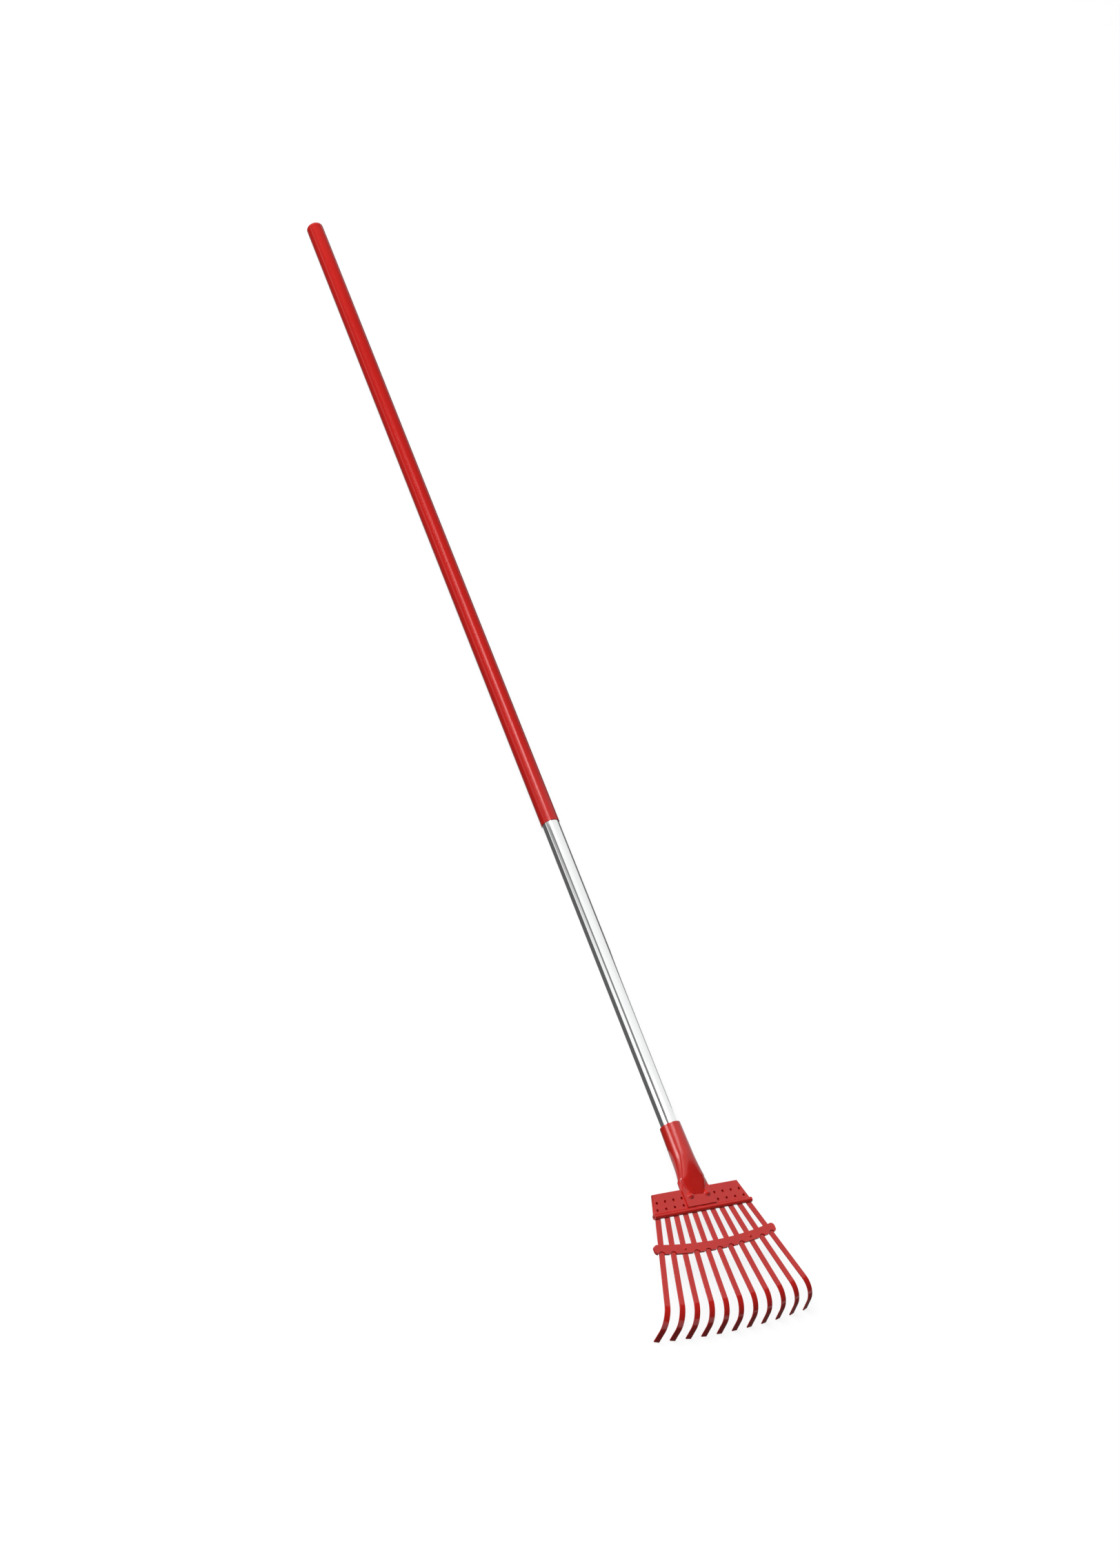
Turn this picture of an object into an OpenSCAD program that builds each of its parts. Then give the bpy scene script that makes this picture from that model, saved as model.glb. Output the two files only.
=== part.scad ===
// Fixed-tine leaf rake: tube handle with a long grip sleeve, flattened tube ferrule, folded head plate with
// a rolled lip, eleven fanned spring tines and a riveted brace. Millimetres, +Z up, lying on tips and grip end.

/* [Handle] */
// outside diameter of the aluminium tube
tube_d = 22.2; // [20:0.1:26]
// wall of the aluminium tube
tube_wall = 1.3; // [1:0.1:2]
// whole length of the tube, from the ferrule's stop to the grip end
tube_len = 1476; // [1100:2:1800]
// length of the grip sleeve
sleeve_len = 1022; // [150:2:1060]
// wall of the grip sleeve
sleeve_wall = 0.6; // [0.5:0.1:2]
// thickness of the sleeve's closed end
sleeve_cap = 6; // [3:0.5:8]
// flat left at the rim of the sleeve's rounded end
sleeve_flat = 0.4; // [0.2:0.1:0.8]
// radial room between sleeve and tube
sleeve_clear = 0.15; // [0.1:0.05:0.3]

/* [Ferrule] */
// length of the ferrule behind the head plate
ferrule_len = 79.5; // [70:0.5:110]
// depth the tube goes into the socket
socket_depth = 40; // [34:0.5:46]
// wall of the socket at its mouth
ferrule_wall = 1.6; // [1.2:0.05:2.2]
// radial room between socket and tube
socket_clear = 0.15; // [0.1:0.05:0.3]
// growth of the socket's radius from mouth to foot
socket_flare = 0.8; // [0.4:0.1:1.2]
// angle of the handle to the head plane
head_pitch = 1.65; // [0:0.05:4]
// height of the handle axis over the tine plane at the plate's rear edge
axis_h = 0.4; // [0:0.1:1.5]
// width of the flat flange
flange_w = 40; // [38:0.5:46]
// thickness of the flat flange
flange_t = 1.5; // [1.2:0.1:2.5]
// distance of the flange's front edge from the head's lip
flange_front = 7; // [5:0.5:10]
// length of the flattened tube's folded sides behind the plate's rear edge
fold_len = 9; // [7:0.5:11]
// narrowing of the flattened tube along its folded sides
fold_taper = 0.7; // [0.3:0.1:1.5]
// distance from the folded sides back to the tube's widest place
shoulder = 2; // [1.5:0.5:2.5]
// half width of the flattened tube where the tongue begins
tongue_half = 18.3; // [17:0.1:18.6]
// distance of the tongue's tip from the head's lip
tongue_front = 20; // [19:0.1:21]

/* [Tines] */
// spacing of neighbouring tines at the lip
pitch = 12.9; // [12.3:0.1:14]
// angle between neighbouring tines
fan_step = 3.55; // [2.5:0.05:4]
// width of a tine
tine_w = 7; // [6:0.1:7.4]
// thickness of a tine
tine_t = 1.4; // [1:0.1:2]
// straight length from the lip to the bend
tine_run = 104; // [90:1:140]
// bend radius at mid thickness
bend_r = 26; // [15:0.5:32]
// angle of the tip bend, in turns whose sine and cosine are short decimals so that the bend meets its straights
bend_angle = 73.7398; // [36.8699, 53.1301, 73.7398]
// straight length after the bend
tip_len = 16; // [8:0.5:30]
// length of tine held inside the head plate
root_len = 25; // [23.5:0.5:27]

/* [Head plate] */
// depth of the folded plate from lip to rear edge
plate_depth = 29.6; // [29:0.2:34]
// sheet thickness of the folded plate
plate_t = 1.2; // [0.9:0.1:1.8]
// diameter of the rolled lip along the plate's front
lip_d = 6.4; // [5.6:0.1:7]
// bore left inside the rolled lip
lip_bore = 2.4; // [1.6:0.1:2.6]
// how far the rolled lip stands below the plate's underside
lip_drop = 0.3; // [0.2:0.1:0.6]
// length of the rolled lip past the outer slots
lip_over = 0.6; // [0.4:0.1:1.5]
// room between flat faces that lie on each other
seat = 0.05; // [0.03:0.01:0.1]
// side room for a tine in its slot
slot_clear = 0.25; // [0.15:0.05:0.4]
// diameter of a staking hole
stake_d = 3; // [2:0.1:3.2]
// distance of the front row of staking holes from the lip
stake_front = 10.4; // [9:0.1:12]
// distance between the two rows of staking holes
stake_gap = 9.2; // [8:0.1:10]

/* [Brace] */
// distance of the brace's middle from the lip
brace_x = 42.4; // [34:0.2:60]
// in-plane radius of the curved brace
brace_r = 460; // [300:5:900]
// width of the brace strips
brace_w = 11.3; // [10.4:0.1:15]
// thickness of the brace strips
brace_t = 1.2; // [0.9:0.1:1.8]
// length of the brace past the outer tines
brace_over = 5.8; // [4.8:0.2:9]
// radius of the end corners of the brace strips
brace_corner = 4.4; // [2:0.1:4.8]
// radius of the scallops over the tines
scallop_r = 4.4; // [4:0.1:5]
// depth of the scallops in the brace's front edge
scallop_in = 3; // [2:0.1:3.8]

/* [Rivets] */
// head diameter of the two flange rivets
rivet_head_d = 8.8; // [8:0.1:10.5]
// dome height of the two flange rivets
rivet_head_h = 2.8; // [2:0.1:4]
// shank diameter of the two flange rivets
rivet_d = 3.8; // [3:0.1:4.2]
// distance of the flange rivets from the lip
rivet_x = 20; // [19:0.1:20.6]
// head diameter of the brace rivets
pin_head_d = 4.6; // [4:0.1:5.6]
// dome height of the brace rivets
pin_head_h = 1.3; // [1:0.1:1.8]
// head diameter of the handle rivet
fix_head_d = 6.6; // [5:0.1:8]
// dome height of the handle rivet
fix_head_h = 1.6; // [1.2:0.1:2.2]
// distance of the handle rivet from the socket's mouth
fix_back = 18; // [12:0.5:26]
// shank diameter of the brace and handle rivets
pin_d = 2.4; // [2:0.1:2.8]
// growth of a brace or handle rivet's tail over its shank
tail_grow = 1.6; // [1.2:0.1:2]
// thickness of a brace rivet's tail
tail_t = 0.9; // [0.6:0.1:1.2]
// thickness of the handle rivet's tail
fix_tail_t = 1.1; // [0.8:0.1:1.4]
// room between the handle rivet's tail and the tube's round wall
fix_room = 0.5; // [0.3:0.1:0.8]
// radial room round a rivet shank
rivet_clear = 0.15; // [0.1:0.05:0.3]

/* [Hidden] */
$fn = 96;
half = 5;
eps = 0.02;
outer_fan = half * fan_step;
plate_h = plate_t * 2 + tine_t + seat * 2;
edge_r = plate_h / 2;
tine_top = tine_t / 2;
cavity_h = tine_t + seat * 2;
lip_half = half * pitch + tine_w / 2 / cos(outer_fan) + slot_clear;
rear_half = lip_half - plate_depth * tan(outer_fan);
lip_r = lip_d / 2;
lip_z = lip_r - edge_r - lip_drop;
lip_end = lip_half + lip_over;
axis_lip = lip_half - lip_r * tan(outer_fan);
flange_z = edge_r + seat;
flange_top = flange_z + flange_t;
sleeve_r = tube_d / 2 + sleeve_clear + sleeve_wall;
sleeve_edge = sleeve_cap - sleeve_flat;
bore_r = tube_d / 2 + socket_clear;
mouth_r = bore_r + ferrule_wall;
foot_r = mouth_r + socket_flare;
stop_s = ferrule_len - socket_depth;
cap_s = stop_s + tube_len;
fix_s = ferrule_len - fix_back;
brace_c = brace_x - brace_r;

// point on the handle axis at distance s behind the plate, offset v upwards, in head coordinates
function axis_x(s, v) = -plate_depth - s * cos(head_pitch) + v * sin(head_pitch);
function axis_z(s, v) = axis_h + s * sin(head_pitch) + v * cos(head_pitch);

// resting line through the outer tine tips and the rounded grip end
in_x = tine_run + (bend_r - tine_t / 2) * sin(bend_angle) + tip_len * cos(bend_angle);
in_z = -bend_r + (bend_r - tine_t / 2) * cos(bend_angle) - tip_len * sin(bend_angle);
rest_x = in_x * cos(outer_fan) - tine_w / 2 * sin(outer_fan);
grip_x = axis_x(cap_s + sleeve_cap - sleeve_edge, sleeve_edge - sleeve_r);
grip_z = axis_z(cap_s + sleeve_cap - sleeve_edge, sleeve_edge - sleeve_r);
span = sqrt((rest_x - grip_x) * (rest_x - grip_x) + (grip_z - in_z) * (grip_z - in_z));
lie = atan2(grip_z - in_z, rest_x - grip_x) - asin(sleeve_edge / span);
low_z = rest_x * sin(lie) + in_z * cos(lie);
out_x = in_x + tine_t * sin(bend_angle);
out_z = in_z + tine_t * cos(bend_angle);
far_x = out_x * cos(lie) - out_z * sin(lie);
near_x = axis_x(cap_s + sleeve_cap, 0) * cos(lie) - axis_z(cap_s + sleeve_cap, 0) * sin(lie);

// distance along tine k, from the lip to the brace's middle line
function brace_b(k) = pitch * k * sin(k * fan_step) - brace_c * cos(k * fan_step);
function brace_q(k) = brace_c * brace_c + pitch * pitch * k * k - brace_r * brace_r;
function brace_s(k) = sqrt(brace_b(k) * brace_b(k) - brace_q(k)) - brace_b(k);
brace_half = half * pitch + brace_s(half) * sin(outer_fan) + tine_w / 2 + brace_over;

// sub-part to draw

paint = [0.72, 0.1, 0.09];
bare = [0.8, 0.81, 0.82];
vinyl = [0.74, 0.09, 0.08];

// head coordinates: x towards the tips, y across the head, z out of the upper face, lip at x = 0
module lay() {
  translate([-(far_x + near_x) / 2, 0, -low_z])
    rotate([0, -lie, 0])
      children();
}

// handle coordinates: z along the tube towards the grip from the plate's rear edge, x upwards
module on_axis() {
  lay()
    translate([-plate_depth, 0, axis_h])
      rotate([0, head_pitch - 90, 0])
        children();
}

// coordinates of tine k: x along the tine from the lip
module on_tine(k) {
  translate([0, k * pitch, 0])
    rotate([0, 0, k * fan_step])
      children();
}

// domed rivet head of diameter d and height h standing on z = 0
module dome(d, h) {
  ball = (d * d / 4 + h * h) / (2 * h);
  intersection() {
    translate([0, 0, h - ball])
      sphere(r = ball);
    cylinder(d = d + 1, h = h + 1);
  }
}

module handle_tube() {
  color(bare)
    on_axis()
      difference() {
        translate([0, 0, stop_s])
          cylinder(d = tube_d, h = tube_len);
        translate([0, 0, stop_s - 1])
          cylinder(d = tube_d - 2 * tube_wall, h = tube_len + 2);
        translate([-tube_d, 0, fix_s])
          rotate([0, 90, 0])
            cylinder(r = pin_d / 2 + rivet_clear, h = tube_d);
      }
}

// sleeve with a closed, rounded end; the end stands on the tube's rim
module grip_sleeve() {
  color(vinyl)
    on_axis()
      difference() {
        union() {
          translate([0, 0, cap_s + sleeve_cap - sleeve_len])
            cylinder(r = sleeve_r, h = sleeve_len - sleeve_edge);
          translate([0, 0, cap_s + sleeve_cap - sleeve_edge])
            rotate_extrude()
              translate([sleeve_r - sleeve_edge, 0])
                intersection() {
                  circle(r = sleeve_edge);
                  square(sleeve_edge + 1);
                }
          translate([0, 0, cap_s + sleeve_cap - sleeve_edge])
            cylinder(r = sleeve_r - sleeve_edge, h = sleeve_edge);
        }
        translate([0, 0, cap_s + sleeve_cap - sleeve_len - 1])
          cylinder(r = tube_d / 2 + sleeve_clear, h = sleeve_len - sleeve_cap + 1 + seat);
      }
}

// outside of the ferrule: one closed section at the mouth, then one per step from the round foot (t = 0)
// to the tongue's tip (t = 1)
foot_x = axis_x(stop_s, 0);
foot_z = axis_z(stop_s, 0);
wide_x = -plate_depth - fold_len - shoulder;
wide_t = (wide_x - foot_x) / (-tongue_front - foot_x);
fold_r = flange_top;
function ease(t) = t <= 0 ? 0 : t >= 1 ? 1 : t * t * (3 - 2 * t);
// share of the tongue's length, nought where the flattened tube is widest
function tongue(t) = (t - wide_t) / (1 - wide_t);
function half_w(t) = t < wide_t
  ? foot_r + (tongue_half - foot_r) * pow(max(t, 0) / wide_t, 1.5)
  : tongue_half * (1 - 0.5 * tongue(t)) * sqrt(1.002 - pow(tongue(t), 8));
function side_w(t) = t < wide_t ? foot_r * (1 - 0.16 * ease(t / wide_t)) : half_w(t) * 0.64;
function mid_z(t) = foot_z + (fold_r / 8 - foot_z) * ease(t / wide_t) + (fold_r * 7 / 8 - 0.1) * ease(tongue(t) * 4);
function top_z(t) = fold_r - 0.05 + (foot_z + foot_r - fold_r) * (1 - pow(max(t, 0), 1.3));
function low_z_at(t) = (foot_z - foot_r) * (1 - ease(t / wide_t * 0.86)) - fold_r * ease(t / wide_t * 0.86)
  + (fold_r + flange_z + 0.1) * ease(tongue(t) * 2.4);
function section(t, inset, n) = [
  for (i = [0 : n - 1])
    let (a = 360 * (i + 0.5) / n)
      [foot_x + (-tongue_front - foot_x) * t,
        (half_w(t) - side_w(t)) * sign(cos(a)) + (side_w(t) - inset) * cos(a),
        mid_z(t) + (sin(a) >= 0 ? top_z(t) - inset - mid_z(t) : mid_z(t) - low_z_at(t) - inset) * sin(a)]
];
function mouth(n) = [
  for (i = [0 : n - 1])
    let (a = 360 * (i + 0.5) / n)
      [axis_x(ferrule_len, 0), mouth_r * cos(a), axis_z(ferrule_len, 0) + mouth_r * sin(a)]
];
module pressed(inset, t0, t1, slices, open) {
  n = 60;
  shape = [for (j = [0 : slices]) section(t0 + (t1 - t0) * j / slices, inset, n)];
  rows = open ? concat([mouth(n)], shape) : shape;
  steps = len(rows) - 1;
  points = [for (r = rows) for (p = r) p];
  walls = [
    for (j = [0 : steps - 1])
      for (i = [0 : n - 1])
        [j * n + i, (j + 1) * n + i, (j + 1) * n + (i + 1) % n, j * n + (i + 1) % n]
  ];
  first = [for (i = [0 : n - 1]) i];
  last = [for (i = [n - 1 : -1 : 0]) steps * n + i];
  polyhedron(points, concat([first], walls, [last]), convexity = 6);
}

// flattened tube behind the plate: folded round sides that narrow towards the transition
module fold() {
  wide = flange_w / 2 - fold_r;
  lean = atan(fold_taper / fold_len);
  x0 = -plate_depth - seat;
  intersection() {
    union() {
      translate([0, 0, -fold_r])
        linear_extrude(2 * fold_r)
          polygon([[x0, wide], [x0 - fold_len, wide - fold_taper], [x0 - fold_len * 1.4, wide - fold_r],
            [x0 - fold_len * 1.4, -wide + fold_r], [x0 - fold_len, -wide + fold_taper], [x0, -wide]]);
      for (s = [-1, 1]) {
        translate([x0 - fold_len, s * (wide - fold_taper), 0])
          sphere(r = fold_r);
        translate([x0 - fold_len, s * (wide - fold_taper), 0])
          rotate([0, 0, s * lean])
            rotate([0, 90, 0])
              cylinder(r = fold_r, h = fold_len + 2);
      }
    }
    translate([x0 - fold_len * 2, -flange_w, -fold_r * 2])
      cube([fold_len * 2, flange_w * 2, fold_r * 4]);
  }
}

// the tube's two walls, cut free of its sides, that grip the head plate above and below
module flange() {
  wide = flange_w / 2;
  for (z = [flange_z, -flange_top])
    translate([0, 0, z])
      linear_extrude(flange_t)
        polygon([[-flange_front, wide], [-flange_front, -wide], [-plate_depth + fold_r / 2, -wide],
          [-plate_depth - fold_r, fold_r * 1.5 - wide], [-plate_depth - fold_r, wide - fold_r * 1.5],
          [-plate_depth + fold_r / 2, wide]]);
}

module ferrule() {
  color(paint)
    difference() {
      lay() {
        pressed(0, 0, 1, 30, true);
        fold();
        flange();
      }
      on_axis() {
        translate([0, 0, stop_s])
          cylinder(r = bore_r, h = socket_depth * 1.1);
        translate([-foot_r - 2, 0, fix_s])
          rotate([0, 90, 0])
            cylinder(r = pin_d / 2 + rivet_clear, h = foot_r);
      }
      lay() {
        pressed(ferrule_wall * 2, -0.05, wide_t * 0.9, 12, false);
        for (k = [-1, 1])
          on_tine(k)
            translate([-rivet_x, 0, -flange_top - 1])
              cylinder(r = rivet_d / 2 + rivet_clear, h = flange_top * 2 + 12);
      }
    }
}

// hidden rivet through socket and tube on the underside
module handle_rivet() {
  tail_r = tube_d / 2 - tube_wall - fix_room - fix_tail_t;
  color(bare)
    on_axis()
      translate([0, 0, fix_s])
        rotate([0, -90, 0]) {
          translate([0, 0, mouth_r + socket_flare * fix_back / socket_depth])
            dome(fix_head_d, fix_head_h);
          translate([0, 0, tail_r + fix_tail_t / 2])
            cylinder(d = pin_d, h = mouth_r + fix_head_h - tail_r - fix_tail_t / 2);
          translate([0, 0, tail_r])
            cylinder(d = pin_d + tail_grow, h = fix_tail_t);
        }
}

// sheet folded round the tine roots: rolled lip, round sides, open at the rear, one slot per tine
module plate_outline(front, half_w) {
  polygon([[-front, half_w], [-front, -half_w], [-plate_depth, -rear_half], [-plate_depth, rear_half]]);
}
module head_plate() {
  side_len = (plate_depth - lip_r) / cos(outer_fan);
  cavity_half = lip_half - lip_d * tan(outer_fan);
  color(paint)
    lay()
      difference() {
        union() {
          translate([0, 0, -edge_r])
            linear_extrude(plate_h)
              plate_outline(lip_r, axis_lip);
          translate([-lip_r, -lip_end, lip_z])
            rotate([-90, 0, 0])
              cylinder(r = lip_r, h = 2 * lip_end);
          for (s = [-1, 1])
            translate([-lip_r, s * axis_lip, 0])
              rotate([0, 0, s * outer_fan])
                rotate([0, -90, 0])
                  cylinder(r = edge_r, h = side_len);
        }
        translate([-lip_r, -lip_end * 2, lip_z])
          rotate([-90, 0, 0])
            cylinder(d = lip_bore, h = 4 * lip_end);
        translate([0, 0, -cavity_h / 2])
          linear_extrude(cavity_h)
            plate_outline(lip_d, cavity_half);
        translate([-plate_depth * 1.5, -rear_half, -cavity_h / 2])
          cube([plate_depth / 2 + eps, 2 * rear_half, cavity_h]);
        translate([-plate_depth * 2, -lip_end * 2, -plate_h])
          cube([plate_depth, 4 * lip_end, plate_h * 2]);
        for (k = [-half : half])
          on_tine(k) {
            translate([-lip_d * 1.2, -tine_w / 2 - slot_clear, -cavity_h / 2])
              cube([lip_d * 2, tine_w + 2 * slot_clear, cavity_h]);
            translate([-stake_front, 0, 0])
              cylinder(d = stake_d, h = plate_h);
            if (abs(k) != 1)
              translate([-stake_front - stake_gap, 0, 0])
                cylinder(d = stake_d, h = plate_h);
            if (abs(k) == 1)
              translate([-rivet_x, 0, -plate_h])
                cylinder(r = rivet_d / 2 + rivet_clear, h = plate_h * 2);
          }
      }
}

module flange_rivet(k) {
  tail_h = rivet_d * 0.37;
  color(paint)
    lay()
      on_tine(k)
        translate([-rivet_x, 0, 0]) {
          translate([0, 0, flange_top + seat])
            dome(rivet_head_d, rivet_head_h);
          translate([0, 0, -flange_top - 1])
            cylinder(d = rivet_d, h = 2 * flange_top + 2);
          translate([0, 0, -flange_top - seat - tail_h])
            cylinder(d = rivet_d * 1.8, h = tail_h);
        }
}
module flange_rivet_left() { flange_rivet(-1); }
module flange_rivet_right() { flange_rivet(1); }

// flat spring strip: root, straight run, bend about the width axis, square-cut tip
module tine(k) {
  color(paint)
    lay()
      on_tine(k)
        difference() {
          union() {
            translate([-root_len, -tine_w / 2, -tine_t / 2])
              cube([root_len + tine_run, tine_w, tine_t]);
            translate([tine_run, 0, -bend_r]) {
              intersection() {
                rotate([90, 0, 0])
                  difference() {
                    cylinder(r = bend_r + tine_t / 2, h = tine_w, center = true);
                    cylinder(r = bend_r - tine_t / 2, h = tine_w * 2, center = true);
                  }
                translate([0, -tine_w, 0])
                  cube([bend_r * 2, tine_w * 2, bend_r * 2]);
                rotate([0, bend_angle, 0])
                  translate([-bend_r * 2, -tine_w, 0])
                    cube([bend_r * 2, tine_w * 2, bend_r * 2]);
              }
              rotate([0, bend_angle, 0])
                translate([0, -tine_w / 2, bend_r - tine_t / 2])
                  cube([tip_len, tine_w, tine_t]);
            }
          }
          translate([-stake_front, 0, -tine_t])
            cylinder(d = stake_d, h = tine_t * 2);
          if (abs(k) != 1)
            translate([-stake_front - stake_gap, 0, -tine_t])
              cylinder(d = stake_d, h = tine_t * 2);
          if (abs(k) == 1)
            translate([-rivet_x, 0, -tine_t])
              cylinder(r = rivet_d / 2 + rivet_clear, h = tine_t * 2);
          if (abs(k) == 3)
            translate([brace_s(k), 0, -tine_t])
              cylinder(r = pin_d / 2 + rivet_clear, h = tine_t * 2);
        }
}
module tine_01() { tine(-5); }
module tine_02() { tine(-4); }
module tine_03() { tine(-3); }
module tine_04() { tine(-2); }
module tine_05() { tine(-1); }
module tine_06() { tine(0); }
module tine_07() { tine(1); }
module tine_08() { tine(2); }
module tine_09() { tine(3); }
module tine_10() { tine(4); }
module tine_11() { tine(5); }

// curved strip in plan with rounded end corners and scallops over the tines that carry no rivet
module strip_outline() {
  inner = brace_w / 2 - brace_corner;
  difference() {
    translate([brace_c, 0]) {
      for (part = [[brace_w / 2, brace_half - brace_corner], [inner, brace_half]])
        intersection() {
          difference() {
            circle(r = brace_r + part[0], $fn = 360);
            circle(r = brace_r - part[0], $fn = 360);
          }
          translate([0, -part[1]])
            square([brace_r * 2, part[1] * 2]);
        }
      for (s = [-1, 1])
        for (e = [-1, 1]) {
          turn = asin((brace_half - brace_corner) / (brace_r + e * inner));
          rotate(s * turn)
            translate([brace_r + e * inner, 0])
              circle(r = brace_corner);
        }
    }
    for (k = [-half : half])
      if (abs(k) != 3)
        translate([0, k * pitch])
          rotate(k * fan_step)
            translate([brace_s(k) + brace_w / 2 - scallop_in + scallop_r, 0])
              circle(r = scallop_r);
  }
}

module brace_strip(z) {
  color(paint)
    lay()
      difference() {
        translate([0, 0, z])
          linear_extrude(brace_t)
            strip_outline();
        for (k = [-3, 3])
          on_tine(k)
            translate([brace_s(k), 0, -brace_w])
              cylinder(r = pin_d / 2 + rivet_clear, h = brace_w * 2);
      }
}
module brace_front() { brace_strip(tine_top + seat); }
module brace_rear() { brace_strip(-tine_top - seat - brace_t); }

module brace_rivet(k) {
  stack = tine_top + seat + brace_t;
  color(paint)
    lay()
      on_tine(k)
        translate([brace_s(k), 0, 0]) {
          translate([0, 0, stack + seat])
            dome(pin_head_d, pin_head_h);
          translate([0, 0, -stack - tail_t / 2])
            cylinder(d = pin_d, h = 2 * stack + tail_t);
          translate([0, 0, -stack - seat - tail_t])
            cylinder(d = pin_d + tail_grow, h = tail_t);
        }
}
module brace_rivet_left() { brace_rivet(-3); }
module brace_rivet_right() { brace_rivet(3); }

handle_tube();
grip_sleeve();
ferrule();
handle_rivet();
head_plate();
flange_rivet_left();
flange_rivet_right();
tine_01();
tine_02();
tine_03();
tine_04();
tine_05();
tine_06();
tine_07();
tine_08();
tine_09();
tine_10();
tine_11();
brace_front();
brace_rear();
brace_rivet_left();
brace_rivet_right();
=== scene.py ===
import math

import bmesh
import bpy
import numpy as np
from mathutils import Matrix, Vector


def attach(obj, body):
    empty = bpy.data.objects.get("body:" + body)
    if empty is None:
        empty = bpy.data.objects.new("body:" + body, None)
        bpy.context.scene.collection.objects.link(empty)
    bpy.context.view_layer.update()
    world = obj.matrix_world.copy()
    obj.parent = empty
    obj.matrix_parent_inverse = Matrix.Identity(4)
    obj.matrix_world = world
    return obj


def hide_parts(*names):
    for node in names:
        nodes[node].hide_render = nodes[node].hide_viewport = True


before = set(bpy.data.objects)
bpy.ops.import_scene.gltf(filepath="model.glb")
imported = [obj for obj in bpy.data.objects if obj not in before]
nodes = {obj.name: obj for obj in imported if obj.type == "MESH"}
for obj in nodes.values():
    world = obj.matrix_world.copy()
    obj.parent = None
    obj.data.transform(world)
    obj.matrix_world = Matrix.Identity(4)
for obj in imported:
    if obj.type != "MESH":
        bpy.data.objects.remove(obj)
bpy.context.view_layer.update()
print("frame loaded:", len(nodes), "nodes")


def linear(r, g, b):
    # sRGB 0..255 to the linear colour that a shader socket takes
    c = np.array([r, g, b]) / 255.0
    low = c / 12.92
    high = ((c + 0.055) / 1.055) ** 2.4
    return (*np.where(c <= 0.04045, low, high), 1.0)


toneEdges = (0.32, 0.68)     # noise values at which a tone is fully dark and fully light
noiseSpan = (0.3, 0.7)       # noise values that are spread over a range


class NodeDesk:
    # short hand for wiring one material
    def __init__(self, name):
        self.material = bpy.data.materials.new(name)
        self.material.use_nodes = True
        self.tree = self.material.node_tree
        self.shader = self.tree.nodes["Principled BSDF"]

    def add(self, kind):
        return self.tree.nodes.new(kind)

    def wire(self, source, target):
        self.tree.links.new(source, target)

    def place(self, scale):
        coords = self.add("ShaderNodeTexCoord")
        mapping = self.add("ShaderNodeMapping")
        mapping.inputs["Scale"].default_value = scale
        self.wire(coords.outputs["Object"], mapping.inputs["Vector"])
        return mapping.outputs["Vector"]

    def noise(self, scale, detail=3.0, rough=0.5):
        n = self.add("ShaderNodeTexNoise")
        n.inputs["Scale"].default_value = 1.0
        n.inputs["Detail"].default_value = detail
        n.inputs["Roughness"].default_value = rough
        self.wire(self.place(scale), n.inputs["Vector"])
        return n.outputs["Fac"]

    def spread(self, value, low, high):
        m = self.add("ShaderNodeMapRange")
        m.inputs["From Min"].default_value, m.inputs["From Max"].default_value = noiseSpan
        m.inputs["To Min"].default_value = low
        m.inputs["To Max"].default_value = high
        self.wire(value, m.inputs["Value"])
        return m.outputs["Result"]

    def tone(self, value, dark, light):
        ramp = self.add("ShaderNodeValToRGB")
        for stop, position, colour in zip(ramp.color_ramp.elements, toneEdges, (dark, light)):
            stop.position = position
            stop.color = colour
        self.wire(value, ramp.inputs["Fac"])
        return ramp.outputs["Color"]

    def relief(self, height, depth, strength):
        b = self.add("ShaderNodeBump")
        b.inputs["Strength"].default_value = strength
        b.inputs["Distance"].default_value = depth
        self.wire(height, b.inputs["Height"])
        self.wire(b.outputs["Normal"], self.shader.inputs["Normal"])


paint = {
    "dark": linear(190, 25, 18),
    "light": linear(199, 31, 23),
    "gloss": (0.12, 0.17),
    "ior": 1.5,
    "peelDepth": 0.00006,
    "peelStrength": 0.35,
    # noise scales, per metre along x, y and z
    "drift": (38, 38, 38),
    "glossDrift": (140, 140, 140),
    "peel": (620, 620, 620),
}


def redPaint():
    # sprayed enamel: a tone that drifts slowly, a fine orange peel, uneven gloss
    d = NodeDesk("redPaint")
    drift = d.noise(paint["drift"], detail=4.0, rough=0.6)
    d.wire(d.tone(drift, paint["dark"], paint["light"]), d.shader.inputs["Base Color"])
    d.wire(d.spread(d.noise(paint["glossDrift"]), *paint["gloss"]), d.shader.inputs["Roughness"])
    d.shader.inputs["IOR"].default_value = paint["ior"]
    d.relief(d.noise(paint["peel"], detail=1.0), paint["peelDepth"], paint["peelStrength"])
    return d.material


vinyl = {
    "dark": linear(184, 18, 11),
    "light": linear(192, 24, 16),
    "gloss": (0.19, 0.23),
    "ior": 1.49,
    "grainDepth": 0.000005,
    "grainStrength": 0.4,
    # noise scales, per metre along x, y and z
    "cloud": (7, 60, 60),
    "glossDrift": (30, 220, 220),
    "grain": (900, 900, 900),
}


def gripVinyl():
    # dipped sleeve: slow clouding along the handle and a fine skin
    d = NodeDesk("gripVinyl")
    cloud = d.noise(vinyl["cloud"], rough=0.6)
    d.wire(d.tone(cloud, vinyl["dark"], vinyl["light"]), d.shader.inputs["Base Color"])
    d.wire(d.spread(d.noise(vinyl["glossDrift"]), *vinyl["gloss"]), d.shader.inputs["Roughness"])
    d.shader.inputs["IOR"].default_value = vinyl["ior"]
    d.relief(d.noise(vinyl["grain"], detail=2.0), vinyl["grainDepth"], vinyl["grainStrength"])
    return d.material


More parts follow.
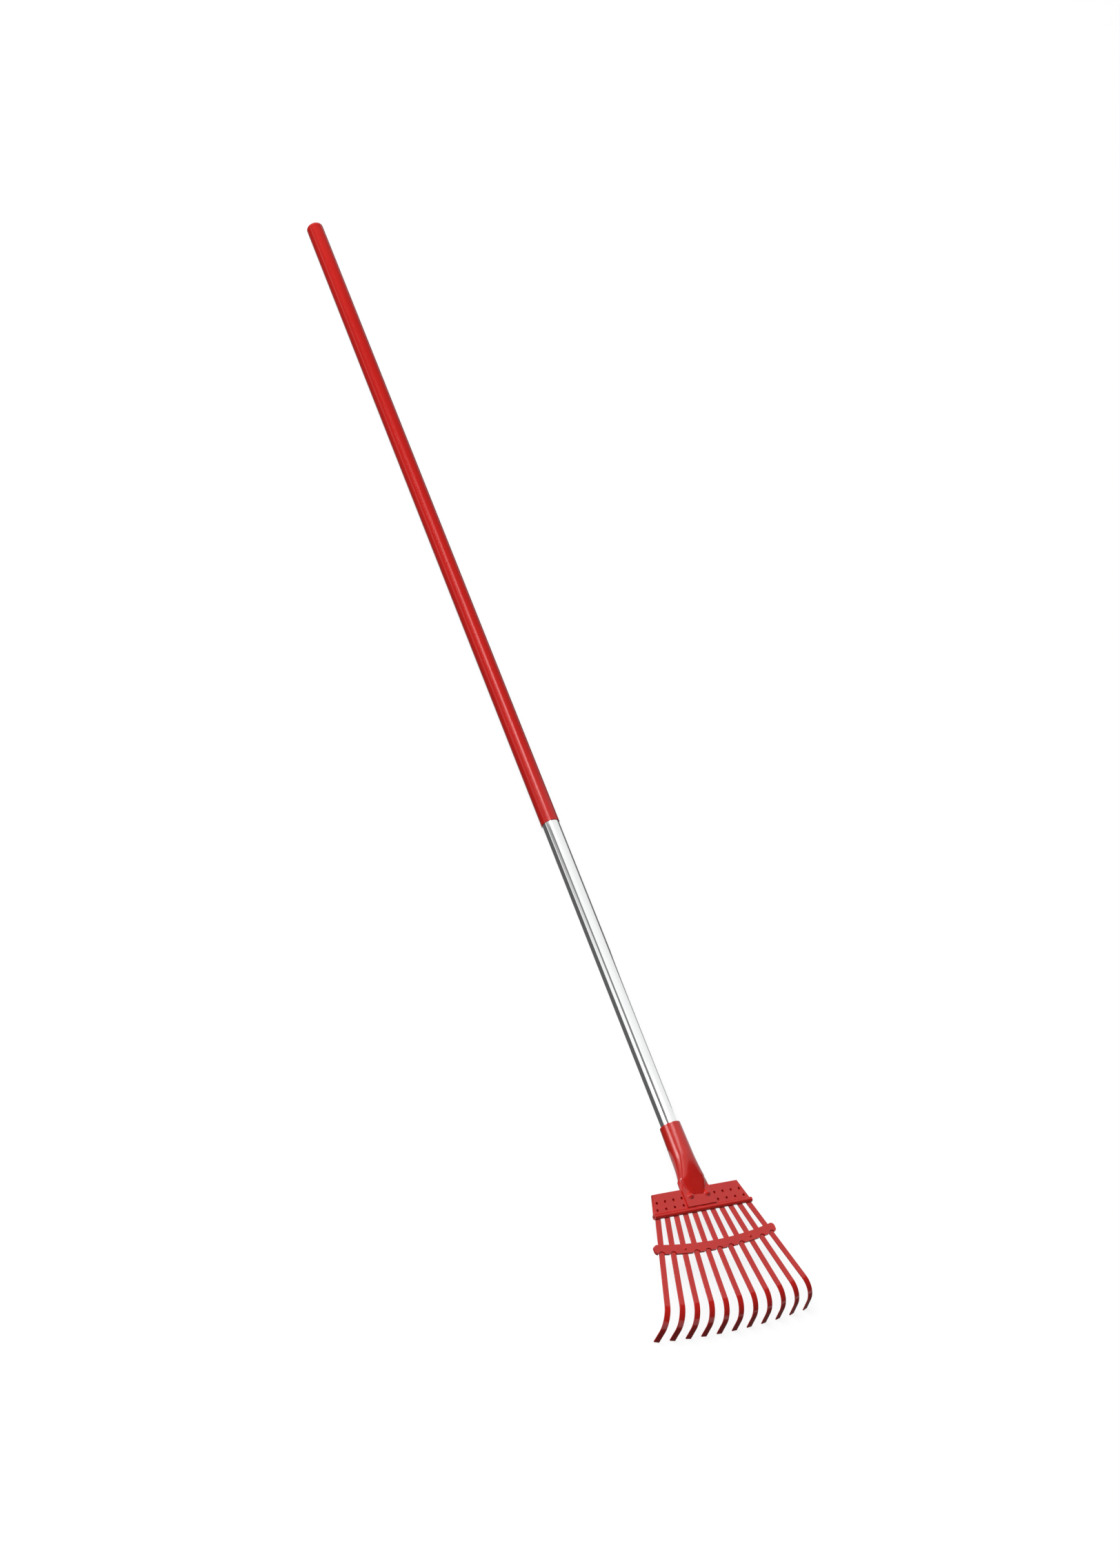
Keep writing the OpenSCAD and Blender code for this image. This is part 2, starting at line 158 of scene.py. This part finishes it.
tubeMetal = {
    "dark": (0.84, 0.845, 0.85, 1.0),
    "light": (0.91, 0.915, 0.92, 1.0),
    "gloss": (0.05, 0.085),
    "lineDepth": 0.00002,
    "lineStrength": 0.25,
    # noise scales, per metre along x, y and z
    "lines": (3, 1500, 1500),
    "glossDrift": (6, 700, 700),
}


def drawnAluminium():
    # bright drawn tube: lines run along the axis, so the noise is long in x and short round the tube
    d = NodeDesk("drawnAluminium")
    lines = d.noise(tubeMetal["lines"], detail=2.0)
    d.wire(d.tone(lines, tubeMetal["dark"], tubeMetal["light"]), d.shader.inputs["Base Color"])
    drift = d.noise(tubeMetal["glossDrift"], detail=2.0)
    d.wire(d.spread(drift, *tubeMetal["gloss"]), d.shader.inputs["Roughness"])
    d.shader.inputs["Metallic"].default_value = 1.0
    d.relief(lines, tubeMetal["lineDepth"], tubeMetal["lineStrength"])
    return d.material


pinMetal = {
    "dark": (0.52, 0.53, 0.54, 1.0),
    "light": (0.66, 0.66, 0.67, 1.0),
    "gloss": (0.28, 0.4),
    "markDepth": 0.00005,
    "markStrength": 0.4,
    # noise scale, per metre along x, y and z
    "marks": (900, 900, 900),
}


def platedRivet():
    # the rivet under the ferrule is bare plated steel with small hammer marks
    d = NodeDesk("platedRivet")
    marks = d.noise(pinMetal["marks"], detail=2.0)
    d.wire(d.tone(marks, pinMetal["dark"], pinMetal["light"]), d.shader.inputs["Base Color"])
    d.wire(d.spread(marks, *pinMetal["gloss"]), d.shader.inputs["Roughness"])
    d.shader.inputs["Metallic"].default_value = 1.0
    d.relief(marks, pinMetal["markDepth"], pinMetal["markStrength"])
    return d.material


finishes = {
    "handle_tube": drawnAluminium(),
    "grip_sleeve": gripVinyl(),
    "handle_rivet": platedRivet(),
}
coat = redPaint()
for name, node in nodes.items():
    finish = finishes.get(name, coat)
    node.data.materials.clear()
    node.data.materials.append(finish)
print("finishes set")

# sheet edges after the paint, in metres: how far each painted piece's edges are rounded
softEdges = {"ferrule": 0.0, "head_plate": 0.0005, "brace_front": 0.0003, "brace_rear": 0.0003}
softEdges.update({name: 0.0004 for name in nodes if name.startswith("tine_")})
sheetEdge = {
    "rimsOnly": ("head_plate",),     # pieces whose hole rims alone are rounded
    "sharp": math.radians(34.0),     # an edge that turns more than this is sharp
    "flat": math.radians(0.2),       # faces that turn less than this are one flat face
    "merge": 2e-6,                   # points closer than this are one
    "steps": 3,                      # faces across a rounded edge
    "rimStep": 0.0003,               # a hole's rim is made of edges shorter than this
    "upright": 0.15,                 # most that an upright face's normal points up
    "level": 0.98,                   # least that a level face's normal points up
}


def rimEdges(mesh):
    # rims of the holes in the upper face: short edges between a level face and an upright one
    for edge in mesh.edges:
        if len(edge.link_faces) == 2 and edge.calc_length() < sheetEdge["rimStep"]:
            side, top = sorted((face.normal.z for face in edge.link_faces), key=abs)
            if abs(side) < sheetEdge["upright"] and top > sheetEdge["level"]:
                yield edge


def paintedCopy(name, roundBy):
    # the node's own shape with its triangles joined, so that round faces shade as one
    # and the sheet's edges can be rounded
    mesh = bpy.data.meshes.new(name + "_painted")
    joined = bmesh.new()
    joined.from_mesh(nodes[name].data)
    bmesh.ops.remove_doubles(joined, verts=joined.verts, dist=sheetEdge["merge"])
    bmesh.ops.dissolve_limit(joined, angle_limit=sheetEdge["flat"], verts=joined.verts, edges=joined.edges)
    rimsOnly = name in sheetEdge["rimsOnly"]
    if rimsOnly:
        weight = joined.edges.layers.float.new("bevel_weight_edge")
        for edge in rimEdges(joined):
            edge[weight] = 1.0
    joined.to_mesh(mesh)
    joined.free()
    mesh.shade_smooth()
    mesh.set_sharp_from_angle(angle=sheetEdge["sharp"])
    mesh.materials.clear()
    mesh.materials.append(coat)
    piece = bpy.data.objects.new(name + "_painted", mesh)
    bpy.context.scene.collection.objects.link(piece)
    if roundBy:
        bevel = piece.modifiers.new("softEdge", "BEVEL")
        bevel.width = roundBy
        bevel.segments = sheetEdge["steps"]
        bevel.limit_method = "WEIGHT" if rimsOnly else "ANGLE"
        bevel.angle_limit = sheetEdge["sharp"]
        bevel.use_clamp_overlap = False
        bevel.loop_slide = False
        bevel.harden_normals = True
        flat = piece.modifiers.new("flatFaces", "WEIGHTED_NORMAL")
        flat.keep_sharp = True
    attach(piece, "root")
    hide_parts(name)


for name, roundBy in softEdges.items():
    paintedCopy(name, roundBy)
print("painted copies:", len(softEdges))


floorTone = {
    "albedo": 0.22,      # the lit floor as the camera and mirrors see it
    "bounce": 0.10,      # what it throws back on matt surfaces
    "glow": 0.84,        # share of white that the camera and mirrors see besides the lit floor
    "size": 30.0,
    "cards": 0.001,      # height of the cards that lie on it
}
studio = {
    # world light on matt surfaces, from behind the handle and from before the tines
    "ambient": (0.42, 0.09),
    "white": 1.0,        # world as the camera and mirrors see it
}
viewRays = ("Is Camera Ray", "Is Glossy Ray", "Is Transmission Ray")     # rays that see the white


def seenBy(tree, outputs):
    # 1 for the named kinds of ray, 0 for the others
    path = tree.nodes.new("ShaderNodeLightPath")
    total = path.outputs[outputs[0]]
    for key in outputs[1:]:
        m = tree.nodes.new("ShaderNodeMath")
        m.operation = "MAXIMUM"
        tree.links.new(total, m.inputs[0])
        tree.links.new(path.outputs[key], m.inputs[1])
        total = m.outputs["Value"]
    return total


def scaled(tree, value, factor, offset=0.0):
    # value times factor plus offset
    m = tree.nodes.new("ShaderNodeMath")
    m.operation = "MULTIPLY_ADD"
    tree.links.new(value, m.inputs[0])
    m.inputs[1].default_value = factor
    m.inputs[2].default_value = offset
    return m.outputs["Value"]


def sheetMesh(name, grid):
    # open sheet over a grid of points, rows by columns
    rows, columns = grid.shape[:2]
    at = np.arange(rows * columns).reshape(rows, columns)
    faces = np.stack([at[:-1, :-1], at[:-1, 1:], at[1:, 1:], at[1:, :-1]], axis=2).reshape(-1, 4)
    mesh = bpy.data.meshes.new(name)
    mesh.from_pydata(grid.reshape(-1, 3).tolist(), [], faces.tolist())
    piece = bpy.data.objects.new(name, mesh)
    bpy.context.scene.collection.objects.link(piece)
    return piece


def paleFloor():
    # level square: matt under the lamp, with a glow that only the rays that see the white meet
    half = floorTone["size"] / 2
    corners = np.array([[(-half, -half, 0), (half, -half, 0)], [(-half, half, 0), (half, half, 0)]])
    floor = sheetMesh("paleFloor", corners)
    material = bpy.data.materials.new("paleFloor")
    material.use_nodes = True
    tree = material.node_tree
    tree.nodes.clear()
    out = tree.nodes.new("ShaderNodeOutputMaterial")
    both = tree.nodes.new("ShaderNodeAddShader")
    matt = tree.nodes.new("ShaderNodeBsdfDiffuse")
    glow = tree.nodes.new("ShaderNodeEmission")
    seen = seenBy(tree, viewRays)
    lit = scaled(tree, seen, floorTone["albedo"] - floorTone["bounce"], floorTone["bounce"])
    tree.links.new(lit, matt.inputs["Color"])
    tree.links.new(scaled(tree, seen, floorTone["glow"]), glow.inputs["Strength"])
    tree.links.new(matt.outputs["BSDF"], both.inputs[0])
    tree.links.new(glow.outputs["Emission"], both.inputs[1])
    tree.links.new(both.outputs["Shader"], out.inputs["Surface"])
    floor.data.materials.append(material)


def whiteRoom():
    # plain white for the rays that see it; for the others, light that changes evenly along x
    world = bpy.data.worlds.new("whiteRoom")
    bpy.context.scene.world = world
    world.use_nodes = True
    tree = world.node_tree
    back = tree.nodes["Background"]
    back.inputs["Color"].default_value = (1, 1, 1, 1)
    way = tree.nodes.new("ShaderNodeTexCoord")
    split = tree.nodes.new("ShaderNodeSeparateXYZ")
    tree.links.new(way.outputs["Generated"], split.inputs["Vector"])
    behind, before = studio["ambient"]
    level = scaled(tree, split.outputs["X"], (before - behind) / 2, (before + behind) / 2)
    mix = tree.nodes.new("ShaderNodeMix")
    tree.links.new(seenBy(tree, viewRays), mix.inputs[0])
    tree.links.new(level, mix.inputs[2])
    mix.inputs[3].default_value = studio["white"]
    tree.links.new(mix.outputs[0], back.inputs["Strength"])


paleFloor()
whiteRoom()

keyLamp = {
    "aim": (0.25, 0.0, 0.03),
    "toward": (-0.40, -0.55, 0.73),
    "reach": 7.0,
    "size": 4.2,
    "white": 1.02,       # matt white facing the lamp renders at this level
}


def softKey():
    lamp = bpy.data.lights.new("softKey", "AREA")
    lamp.shape = "SQUARE"
    lamp.size = keyLamp["size"]
    # far off, a square lamp of this many watts lights matt white to the level asked for
    lamp.energy = keyLamp["white"] * (math.pi * keyLamp["reach"]) ** 2
    holder = bpy.data.objects.new("softKey", lamp)
    toward = Vector(keyLamp["toward"]).normalized()
    spot = Vector(keyLamp["aim"]) + toward * keyLamp["reach"]
    holder.matrix_world = Matrix.Translation(spot) @ toward.to_track_quat("Z", "Y").to_matrix().to_4x4()
    holder.visible_glossy = False
    bpy.context.scene.collection.objects.link(holder)


softKey()

cardAxis = 0.03          # height over the floor of the level line that the cards curve round
cardSteps = 32           # points round each card

# cards that only mirrors see, white panels and strips and dark flags: edges in degrees and level, at the
# first x and at the second x, and the share of the level at the two edges where it isn't the whole
curvedCards = {
    "panelHandle": {"x": (-0.46, 0.20), "from": (11, 11), "to": (139, 122), "reach": 1.2,
                    "level": (1.12, 1.12), "share": (0.8, 1.0)},
    "panelHead": {"x": (0.20, 0.60), "from": (11, 11), "to": (118, 66), "reach": 1.2,
                  "level": (1.12, 1.12), "share": (0.8, 1.0)},
    "lineFlag": {"x": (-0.46, 0.20), "from": (139, 122), "to": (156, 149), "reach": 1.35,
                 "level": (0.24, 0.24)},
    "edgeFlag": {"x": (-0.46, 0.20), "from": (-1, -1), "to": (11, 11), "reach": 1.2,
                 "level": (0.2, 0.2)},
    "tongueFlag": {"x": (0.60, 2.6), "from": (8, 8), "to": (140, 140), "reach": 1.2,
                   "level": (0.1, 0.1)},
    "sleeveFlag": {"x": (-2.0, -0.46), "from": (8, 8), "to": (172, 172), "reach": 1.2,
                   "level": (0.15, 0.15)},
    "tubeStripUpper": {"x": (-0.46, -0.08), "from": (156, 150), "to": (180, 180), "reach": 1.3,
                       "level": (0.3, 1.08)},
    "tubeStripLower": {"x": (-0.08, 0.12), "from": (150, 149), "to": (180, 180), "reach": 1.3,
                       "level": (1.08, 1.08)},
    "ferruleStrip": {"x": (0.12, 0.42), "from": (153, 149), "to": (176, 178), "reach": 1.3,
                     "level": (8.0, 11.0)},
    "ferruleCrown": {"x": (0.205, 0.32), "from": (82, 112), "to": (107, 132), "reach": 1.1,
                     "level": (14.0, 2.5), "share": (0.8, 1.0)},
    "sleeveCrown": {"x": (-1.25, -0.34), "from": (104, 104), "to": (123, 123), "reach": 1.1,
                    "level": (0.0, 8.0)},
}
# cards that lie on the floor and hold its white back from the mirrors
floorCards = {
    "flagLeft": {"x": (-1.0, 0.62), "y": (-0.17, -0.012), "level": 0.12},
    "flagRight": {"x": (-1.0, 0.35), "y": (0.012, 0.9), "level": 0.12},
    "flagFront": {"x": (0.80, 1.6), "y": (-0.4, 1.2), "level": 0.12},
}


def roundHandle(c):
    # ruled sheet: arcs round the cards' axis (0 is +y, 90 is up) at both x, joined by straight lines
    turn = np.radians(np.linspace(c["from"], c["to"], cardSteps))
    x = np.broadcast_to(c["x"], turn.shape)
    return np.stack([x, c["reach"] * np.cos(turn), cardAxis + c["reach"] * np.sin(turn)], axis=2)


def onFloor(c):
    # flat sheet between two x and two y, just over the floor
    x, y = np.meshgrid(c["x"], c["y"])
    return np.stack([x, y, np.full(x.shape, floorTone["cards"])], axis=2)


def mirrorCard(name, grid, level):
    # the glow at each point comes from an attribute of the sheet
    card = sheetMesh(name, grid)
    glowAt = card.data.attributes.new("glow", "FLOAT", "POINT")
    glowAt.data.foreach_set("value", level.ravel())
    material = bpy.data.materials.new(name)
    material.use_nodes = True
    tree = material.node_tree
    tree.nodes.clear()
    out = tree.nodes.new("ShaderNodeOutputMaterial")
    glow = tree.nodes.new("ShaderNodeEmission")
    read = tree.nodes.new("ShaderNodeAttribute")
    read.attribute_name = "glow"
    tree.links.new(read.outputs["Fac"], glow.inputs["Strength"])
    tree.links.new(glow.outputs["Emission"], out.inputs["Surface"])
    card.data.materials.append(material)
    card.visible_camera = False
    card.visible_diffuse = False
    card.visible_shadow = False
    card.visible_transmission = False


for name, c in curvedCards.items():
    share = np.linspace(*c.get("share", (1.0, 1.0)), cardSteps)
    mirrorCard(name, roundHandle(c), np.outer(share, c["level"]))
for name, c in floorCards.items():
    mirrorCard(name, onFloor(c), np.full(4, c["level"]))
print("studio ready")


viewpoint = {
    "eye": (1.40235, -1.56953, 2.17974),
    "aim": (0.11965, 0.03896, 0.02),
    "roll": 38.542,      # degrees about the line of sight
    "lens": 53.924,      # millimetres
    "longSide": 36.0,    # of the sensor, millimetres
    "clip": (0.05, 100.0),
}


def photoCamera():
    data = bpy.data.cameras.new("photoCamera")
    data.sensor_width = viewpoint["longSide"]
    data.lens = viewpoint["lens"]
    data.clip_start, data.clip_end = viewpoint["clip"]
    holder = bpy.data.objects.new("photoCamera", data)
    eye, aim = Vector(viewpoint["eye"]), Vector(viewpoint["aim"])
    level = (aim - eye).to_track_quat("-Z", "Y").to_matrix()
    roll = Matrix.Rotation(math.radians(viewpoint["roll"]), 3, "Z")
    holder.matrix_world = Matrix.Translation(eye) @ (level @ roll).to_4x4()
    bpy.context.scene.collection.objects.link(holder)
    bpy.context.scene.camera = holder


photoCamera()
bpy.context.scene.view_settings.view_transform = "Standard"
